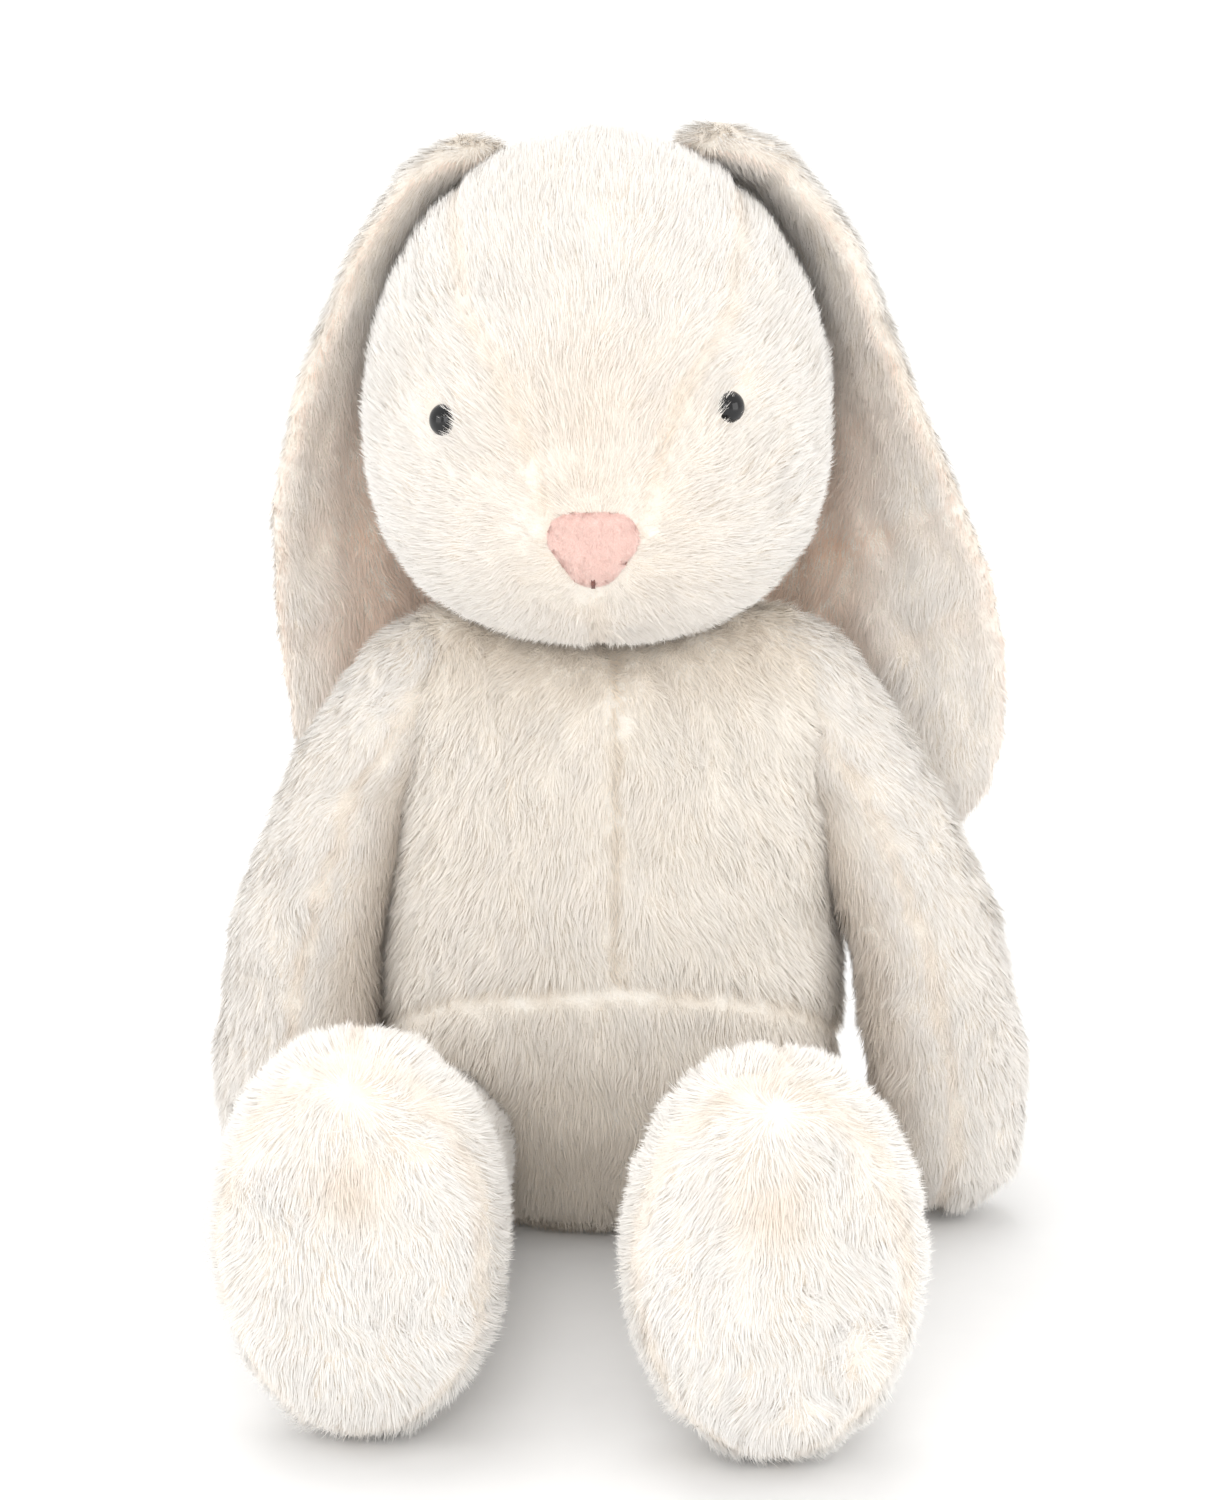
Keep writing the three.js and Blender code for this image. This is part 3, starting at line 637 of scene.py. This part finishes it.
def make_head():
    panels = ["head_gusset", "cheek_left_panel", "cheek_right_panel", "nape_left_panel",
              "nape_right_panel"]
    skin = smoothed(remeshed(hull_of("head_skin", panels), 5), 14)
    seams = finished_skin(skin, panels, "head_stuffing", "head", 2.5, 1.4)
    nose = middle_of("nose_patch")
    tree = tree_of(skin)
    eyes = [np.array(eye_seat(side, tree)[0]) / MM for side in ("left", "right")]
    roots = [ear_root(side) for side in ("left", "right")]

    def comb(place, normal):
        from_nose = place - nose
        from_nose[:, 1] *= 0.4
        behind = ramp(place[:, 1], -10, 60)[:, None]
        return (1 - behind) * unit(from_nose) + behind * np.array([0, 0.1, -1.0])

    def length(place):
        near_nose = np.linalg.norm((place - nose) * [1, 0.5, 1], axis=1)
        shorter = np.zeros(len(place))
        for eye in eyes:
            offset = place - eye
            outside = ramp(np.sign(eye[0] - nose[0]) * offset[:, 0], -4, 3)
            trim = bump(np.linalg.norm(offset, axis=1), 14) * (0.6 + 4.0 * outside)
            shorter = np.maximum(shorter, trim)
        by_ear = sum(bump(np.linalg.norm(place - root, axis=1), 26) for root in roots)
        return 9.6 - 4.2 * bump(near_nose, 24) - shorter + 4 * by_ear

    def keep(place):
        offset = place - nose
        half_width, half_height = 14.5, 11.5
        sideways = np.abs(offset[:, 0]) / half_width
        rise = offset[:, 2] / half_height
        in_front = place[:, 1] < nose[1] + 25
        on_nose = in_front & (sideways < 0.55 + 0.45 * rise) & (np.abs(rise) < 0.95)
        clear = ~on_nose
        for eye in eyes:
            offset = place - eye
            outside = ramp(np.sign(eye[0] - nose[0]) * offset[:, 0], -5, 1)
            clear &= np.linalg.norm(offset, axis=1) > 3.4 + 2.3 * outside
        return clear

    def warm_tone_and_shade(place, normal):
        muzzle = bump(np.linalg.norm(place - nose, axis=1), 62)
        brow = bump(np.linalg.norm(place - nose - [0, 0, 58], axis=1), 40)
        return 0.10 + 0.30 * muzzle + 0.25 * brow

    grow_pile(skin, seams, "head", comb, length, warm_tone_and_shade, 11, keep, wild=0.75)
    return skin


def shoulder_points():
    """The roots of the arms, a little swollen, so that the body's skin holds them."""
    points = []
    for side in ("left", "right"):
        cloud = np.concatenate([coordinates(NODES[f"arm_{side}_{half}_panel"].data)
                                for half in ("inner", "outer")])
        high = cloud[:, 2] > SHOULDER_HEIGHT * MM
        root = cloud[high & (np.abs(cloud[:, 0]) < SHOULDER_WIDTH * MM)]
        middle = root.mean(axis=0)
        points += list(middle + 1.04 * (root - middle))
    return points


def under_head(skin, head_skin, gap):
    """Lowers the top of a skin to just below the head that rests on it."""
    tree = tree_of(head_skin)
    points = coordinates(skin.data)
    for point in points:
        if point[2] > NECK_HEIGHT * MM:
            hit = tree.ray_cast(Vector((point[0], point[1], 0.1)), Vector((0, 0, 1)))[0]
            if hit:
                point[2] = min(point[2], hit.z - gap * MM)
    set_coordinates(skin.data, points)
    return skin


def make_torso(head_skin):
    panels = ["body_front_left_panel", "body_front_right_panel", "body_back_left_panel",
              "body_back_right_panel", "seat_panel"]
    skin = smoothed(remeshed(hull_of("torso_skin", panels, shoulder_points()), 5), 14)
    skin = smoothed(under_head(skin, head_skin, 1.0), 3)
    seams = finished_skin(skin, panels, "body_stuffing", "torso", 2.4, 3.2)

    def comb(place, normal):
        flow = np.tile([0.0, 0.0, -1.0], (len(place), 1))
        flow[:, 0] = 0.004 * (place[:, 0] - 2)
        under = ramp(-normal[:, 2], 0.5, 0.95)
        flow[:, 1] -= under
        return flow

    def length(place):
        return np.full(len(place), 10.8)

    def warm_tone_and_shade(place, normal):
        # Cream tone, plus painted shade: warmer towards the floor and just under the head.
        return 0.30 + 0.45 * ramp(-place[:, 2], -120, -30) + 0.3 * ramp(place[:, 2], 215, 250)

    grow_pile(skin, seams, "torso", comb, length, warm_tone_and_shade, 23)


def make_tail():
    skin = smoothed(remeshed(hull_of("tail_skin", ["tail_cover"]), 4), 10)
    seams = finished_skin(skin, ["tail_cover"], "tail_stuffing", "torso", 1.0, 0.0)
    centre = middle_of("tail_cover")

    def comb(place, normal):
        return unit(place - centre) + [0, 0.3, -0.8]

    def length(place):
        return np.full(len(place), 12.0)

    def warm_tone_and_shade(place, normal):
        return np.full(len(place), 0.15)

    grow_pile(skin, seams, "torso", comb, length, warm_tone_and_shade, 31)


def make_pouch():
    skin = smoothed(remeshed(hull_of("pouch_skin", ["bean_pouch"]), 4), 6)
    smooth_shading(skin.data)
    skin.data.materials.clear()
    skin.data.materials.append(POUCH_CLOTH)
    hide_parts("bean_pouch")
    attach(skin, "torso")


def middle_line(skin, steps=24):
    """Heights down a hanging limb, and the middle of the limb at each of them."""
    points = coordinates(skin.data) / MM
    stations = np.linspace(points[:, 2].min(), points[:, 2].max(), steps + 1)
    heights, centres = [], []
    for low, high in zip(stations[:-1], stations[1:]):
        slab = points[(points[:, 2] >= low) & (points[:, 2] <= high)]
        if len(slab):
            heights.append((low + high) / 2)
            centres.append((slab.min(axis=0) + slab.max(axis=0)) / 2)
    return np.array(heights), np.array(centres)


def down_limb(line, place):
    """The way a hanging limb runs beside each place."""
    heights, centres = line
    step = 6.0

    def centre_at(height):
        return np.stack([np.interp(height, heights, centres[:, k]) for k in range(3)], axis=1)

    run = centre_at(place[:, 2] - step) - centre_at(place[:, 2] + step)
    run[:, 2] = -2 * step
    return unit(run)


def sewn_on(skin, root, head_skin):
    """Draws the root of an ear towards the crown, so that no gap shows there."""
    widest_gap, least_pull = 16 * MM, 0.02
    tree = tree_of(head_skin)
    points = coordinates(skin.data)
    pull = 0.65 * bump(np.linalg.norm(points / MM - root, axis=1), 26)
    for point, share in zip(points, pull):
        if share > least_pull:
            nearest, normal, _, gap = tree.find_nearest(point)
            if gap < widest_gap and (Vector(point) - nearest).dot(normal) > 0:
                point += share * (np.array(nearest) - point)
    set_coordinates(skin.data, points)
    return skin


def make_ear(side, seed, head_skin):
    panels = [f"ear_{side}_outer", f"ear_{side}_lining"]
    body = f"ear_{side}"
    skin = limb_skin(f"ear_{side}_skin", panels, 3.5, 8)
    sewn_on(skin, ear_root(side), head_skin)
    seams = finished_skin(skin, panels, None, body, 1.6, 0.8)
    line = middle_line(skin)
    head = middle_of("head_stuffing")

    def comb(place, normal):
        return down_limb(line, place)

    def length(place):
        return 9.6 + 4 * bump(np.linalg.norm(place - ear_root(side), axis=1), 24)

    def warm_tone_and_shade(place, normal):
        beside = np.abs(place[:, 0] - head[0])
        # Painted shade: peach on the front of the ear low down beside the head, where the head shades it.
        inner = ramp(-beside, -135, -95) * ramp(-place[:, 2], -400, -300)
        return 0.04 + 0.65 * inner * ramp(-normal[:, 1], -0.3, 0.4)

    grow_pile(skin, seams, body, comb, length, warm_tone_and_shade, seed)


def make_arm(side, seed):
    panels = [f"arm_{side}_outer_panel", f"arm_{side}_inner_panel"]
    body = f"arm_{side}"
    skin = limb_skin(f"arm_{side}_skin", panels, 4.5, 14)
    seams = finished_skin(skin, panels, f"arm_{side}_stuffing", body, 3.0, 1.6)
    line = middle_line(skin)

    def comb(place, normal):
        return down_limb(line, place)

    def length(place):
        return np.full(len(place), 10.6)

    def warm_tone_and_shade(place, normal):
        # Painted shade: warmer on the side that faces the body, in the crease between arm and body.
        inward = -np.sign(place[:, 0]) * normal[:, 0]
        return 0.15 + 0.45 * ramp(inward, 0.1, 0.9)

    grow_pile(skin, seams, body, comb, length, warm_tone_and_shade, seed)


def make_leg(side, seed):
    panels = [f"leg_{side}_outer_panel", f"leg_{side}_inner_panel", f"sole_{side}_panel"]
    body = f"leg_{side}"
    skin = limb_skin(f"leg_{side}_skin", panels, 4.5, 16)
    seams = finished_skin(skin, panels, f"leg_{side}_stuffing", body, 3.2, 1.2)
    sole = middle_of(f"sole_{side}_panel")
    low, high = (np.array(corner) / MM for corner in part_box(f"sole_{side}_panel"))
    crown = np.array([sole[0], low[1], high[2] - 0.26 * (high[2] - low[2])])

    def comb(place, normal):
        on_sole = ramp(-normal[:, 1], 0.25, 0.7)[:, None]
        spread = (place - crown) * [0.7, 0.2, 1.0] + [0, 0, -30]
        shin = np.tile([0.0, 1.0, -0.35], (len(place), 1))
        return on_sole * unit(spread) + (1 - on_sole) * shin

    def length(place):
        return np.full(len(place), 10.4)

    def warm_tone_and_shade(place, normal):
        # Painted shade: warmer on the sides facing back, and in the swirl at the crown of the sole.
        crown_shade = bump(np.linalg.norm(place - crown, axis=1), 13)
        return 0.05 + 0.25 * ramp(normal[:, 1], -0.5, 0.6) + 0.7 * crown_shade

    grow_pile(skin, seams, body, comb, length, warm_tone_and_shade, seed, wild=1.5)


# ------------------------------------------------------------------ face

def lathe(name, outline, segments):
    """Turned mesh about +Z through (radius, height) points."""
    shape = bmesh.new()
    rings = []
    for radius, height in outline:
        if radius < 1e-7:
            rings.append([shape.verts.new((0, 0, height))])
        else:
            rings.append([shape.verts.new((radius * math.cos(2 * math.pi * k / segments),
                                           radius * math.sin(2 * math.pi * k / segments), height))
                          for k in range(segments)])
    for lower, upper in zip(rings[:-1], rings[1:]):
        for k in range(segments):
            after = (k + 1) % segments
            corners = [lower[k % len(lower)], lower[after % len(lower)],
                       upper[after % len(upper)], upper[k % len(upper)]]
            shape.faces.new(list(dict.fromkeys(corners)))
    return built(name, shape, smooth=True)


def make_eye(side, head_tree):
    """Glossy black dome with a rounded rim, on its stem."""
    radius, dome, seat, rim = 6.5 * MM, 5.0 * MM, -0.9 * MM, 0.6 * MM
    stem_radius, stem_end, underside = 2.2 * MM, -12 * MM, seat - 0.8 * MM

    def arc(centre, wide, high, angles):
        return [(centre[0] + wide * math.cos(math.radians(a)), centre[1] + high * math.sin(math.radians(a)))
                for a in angles]

    outline = [(0, stem_end), (stem_radius, stem_end), (stem_radius, underside), (radius - rim, underside)]
    outline += arc((radius - rim, seat - 0.2 * MM), rim, rim, (-60, -20, 10))
    outline += arc((0, seat), radius, dome, range(6, 90, 6))
    outline.append((0, seat + dome))
    eye = lathe(f"eye_{side}_dome", outline, 48)
    point, normal = eye_seat(side, head_tree)
    turn = normal.to_track_quat("Z", "Y")
    eye.data.transform(Matrix.Translation(point) @ turn.to_matrix().to_4x4())
    eye.data.materials.append(EYE_BLACK)
    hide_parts(f"eye_{side}")
    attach(eye, "head")


def nose_outline(count):
    """Rounded triangle, point down, about 1 wide, as points in the plane of the face."""
    corners = [(-0.20, 0.14), (0.20, 0.14), (0.0, -0.17)]
    points, fine = [], 720
    for k in range(fine):
        angle = 2 * math.pi * k / fine
        out = (math.cos(angle), math.sin(angle))
        corner = max(corners, key=lambda c: c[0] * out[0] + c[1] * out[1])
        points.append((corner[0] + 0.30 * out[0], corner[1] + 0.32 * out[1]))
    points.append(points[0])
    points = np.array(points)
    run = np.concatenate([[0], np.cumsum(np.linalg.norm(np.diff(points, axis=0), axis=1))])
    stops = np.linspace(0, run[-1], count, endpoint=False)
    return np.stack([np.interp(stops, run, points[:, k]) for k in range(2)], axis=1)


def make_nose(head_tree):
    """Padded velour patch that follows the face, with short pile on it."""
    low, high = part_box("nose_patch")
    centre = (low + high) / 2 + Vector((0, 0, 1.2 * MM))
    wide, tall = high.x - low.x + 3 * MM, high.z - low.z + 3.5 * MM
    edge_height, padding, tuck = 1.0, 3.4, -2.0
    rings, around = 12, 60
    outline = nose_outline(around)
    shape = bmesh.new()

    def cast(x, z):
        return head_tree.ray_cast(Vector((x, low.y - 0.05, z)), Vector((0, 1, 0)))

    facing = cast(centre.x, centre.z)[1]

    def on_face(share, x, z, height):
        point = cast(centre.x + wide * share * x, centre.z + tall * share * z)[0]
        return shape.verts.new(point + facing * height * MM)

    rows = []
    for ring in range(1, rings + 1):
        share = ring / rings
        height = edge_height + padding * math.sqrt(max(1 - share ** 2.6, 0))
        rows.append([on_face(share, x, z, height) for x, z in outline])
    rows.append([on_face(1, x, z, tuck) for x, z in outline])
    top = on_face(0, 0, 0, edge_height + padding)
    for k in range(around):
        after = (k + 1) % around
        shape.faces.new((top, rows[0][k], rows[0][after]))
        for inner, outer in zip(rows[:-1], rows[1:]):
            shape.faces.new((inner[k], outer[k], outer[after], inner[after]))
    shape.faces.new(list(reversed(rows[-1])))
    nose = built("nose_velour", shape, smooth=True)
    nose.data.materials.append(VELOUR_BACKING)
    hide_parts("nose_patch")
    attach(nose, "head")
    make_nose_pile(nose)


def make_nose_pile(nose):
    """Very short pile on the front of the nose, lying downwards."""
    rng = np.random.default_rng(77)
    count = len(nose.data.vertices)
    seams = {"away": np.zeros((count, 3)), "seam": np.full(count, 99.0),
             "normal": normals_of(nose.data), "owner": np.zeros(count, dtype=int)}
    site = scatter(nose, seams, 6.0, rng)
    facing = site["normal"][:, 1] < -0.15
    root, normal = site["root"][facing], site["normal"][facing]
    place = root / MM
    flow = np.array([0, 0, -1.0]) + 0.55 * waves(place, 9, 78) + 0.5 * waves(place, 4, 79)
    flow = along_skin(flow, normal)
    size = rng.uniform(0.9, 1.5, (len(root), 1)) * MM
    tip = root + size * (0.80 * flow + 0.50 * normal)
    shade = np.stack([rng.random(len(root)), 0.3 * rng.random(len(root))], axis=1)
    mesh = blade_mesh("nose_pile", root, tip, np.cross(normal, flow), np.full(len(root), 0.42),
                      unit(normal + 0.2 * rng.normal(size=root.shape)), shade)
    pile = linked("nose_pile", mesh)
    mesh.materials.append(VELOUR)
    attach(pile, "head")


def make_stitch(head_tree):
    """Two-ply thread stitch at the foot of the nose."""
    low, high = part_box("mouth_stitch")
    x, radius, steps, around = (low.x + high.x) / 2, 0.55 * MM, 28, 8
    shape = bmesh.new()
    for ply in (0, math.pi):
        rings = []
        for i in range(steps + 1):
            share = i / steps
            z = high.z - 1.5 * MM + share * (low.z - high.z - 0.5 * MM)
            point, normal, _, _ = head_tree.ray_cast(Vector((x, low.y - 0.05, z)), Vector((0, 1, 0)))
            arch = math.sin(math.pi * min(max(share, 0.02), 0.98))
            twist = ply + 7 * share
            aside = Vector((math.cos(twist), 0, 0)) * 0.4 * MM
            middle = point + normal * (0.4 + 3.6 * arch) * MM + aside
            rings.append([shape.verts.new(middle + Vector((math.cos(a), math.sin(a), 0)) * radius)
                          for a in (2 * math.pi * k / around for k in range(around))])
        for upper, lower in zip(rings[:-1], rings[1:]):
            for k in range(around):
                after = (k + 1) % around
                shape.faces.new((upper[k], upper[after], lower[after], lower[k]))
        shape.faces.new(rings[0])
        shape.faces.new(list(reversed(rings[-1])))
    stitch = built("mouth_thread", shape, smooth=True)
    stitch.data.materials.append(THREAD)
    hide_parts("mouth_stitch")
    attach(stitch, "head")


def make_face(head_skin):
    tree = tree_of(head_skin)
    make_eye("left", tree)
    make_eye("right", tree)
    make_nose(tree)
    make_stitch(tree)
    for side in ("left", "right"):
        washer = NODES[f"eye_washer_{side}"]
        washer.data.materials.clear()
        washer.data.materials.append(WASHER_WHITE)


# ------------------------------------------------------------------ studio

def make_camera():
    """1.7 m in front of the toy, looking 13 degrees down, as fitted to the photograph."""
    camera = linked("Camera", bpy.data.cameras.new("Camera"))
    camera.location = (0, -1.7, 0.5875)
    camera.rotation_euler = (math.radians(90 - 13), 0, 0)
    camera.data.sensor_fit = "VERTICAL"
    camera.data.sensor_height = 36
    camera.data.lens = 97.9
    bpy.context.scene.camera = camera


def make_floor():
    shape = bmesh.new()
    bmesh.ops.create_grid(shape, x_segments=1, y_segments=1, size=20)
    floor = built("floor", shape)
    paper, nodes, links, shader = new_material("floor_paper", 0.9)
    tone = noise_of(nodes, links, 40)
    links.new(mix_colours(nodes, links, tone, srgb(244, 244, 244), srgb(245, 245, 245)),
              shader.inputs["Base Color"])
    shader.inputs["Specular IOR Level"].default_value = 0.1
    floor.data.materials.append(paper)


def add_area(name, place, target, size, power):
    light = linked(name, bpy.data.lights.new(name, "AREA"))
    light.location = place
    light.rotation_euler = (Vector(target) - Vector(place)).to_track_quat("-Z", "Y").to_euler()
    light.data.size = size
    light.data.energy = power


def make_lights():
    """White surroundings, three big soft lights, and a wide sun that throws the shadow forwards."""
    world = bpy.data.worlds.new("studio")
    bpy.context.scene.world = world
    world.use_nodes = True
    background = world.node_tree.nodes["Background"]
    background.inputs["Color"].default_value = (1, 0.995, 0.985, 1)
    background.inputs["Strength"].default_value = 1.02
    bpy.context.scene.view_settings.view_transform = "Standard"
    add_area("front", (-0.4, -2.6, 0.9), (0, 0, 0.18), 1.5, 16)
    add_area("left_side", (2.0, -1.2, 0.6), (0, 0, 0.2), 1.4, 11)
    add_area("right_side", (-2.0, -1.2, 0.6), (0, 0, 0.2), 1.4, 8)
    sun = linked("overhead", bpy.data.lights.new("overhead", "SUN"))
    sun.data.energy = 0.8
    sun.data.angle = math.radians(40)
    sun.rotation_euler = (math.radians(-22), math.radians(-6), 0)


make_camera()
make_floor()
make_lights()
head = make_head()
make_face(head)
make_torso(head)
make_tail()
make_pouch()
make_ear("left", 41, head)
make_ear("right", 47, head)
make_arm("left", 53)
make_arm("right", 59)
make_leg("left", 61)
make_leg("right", 67)
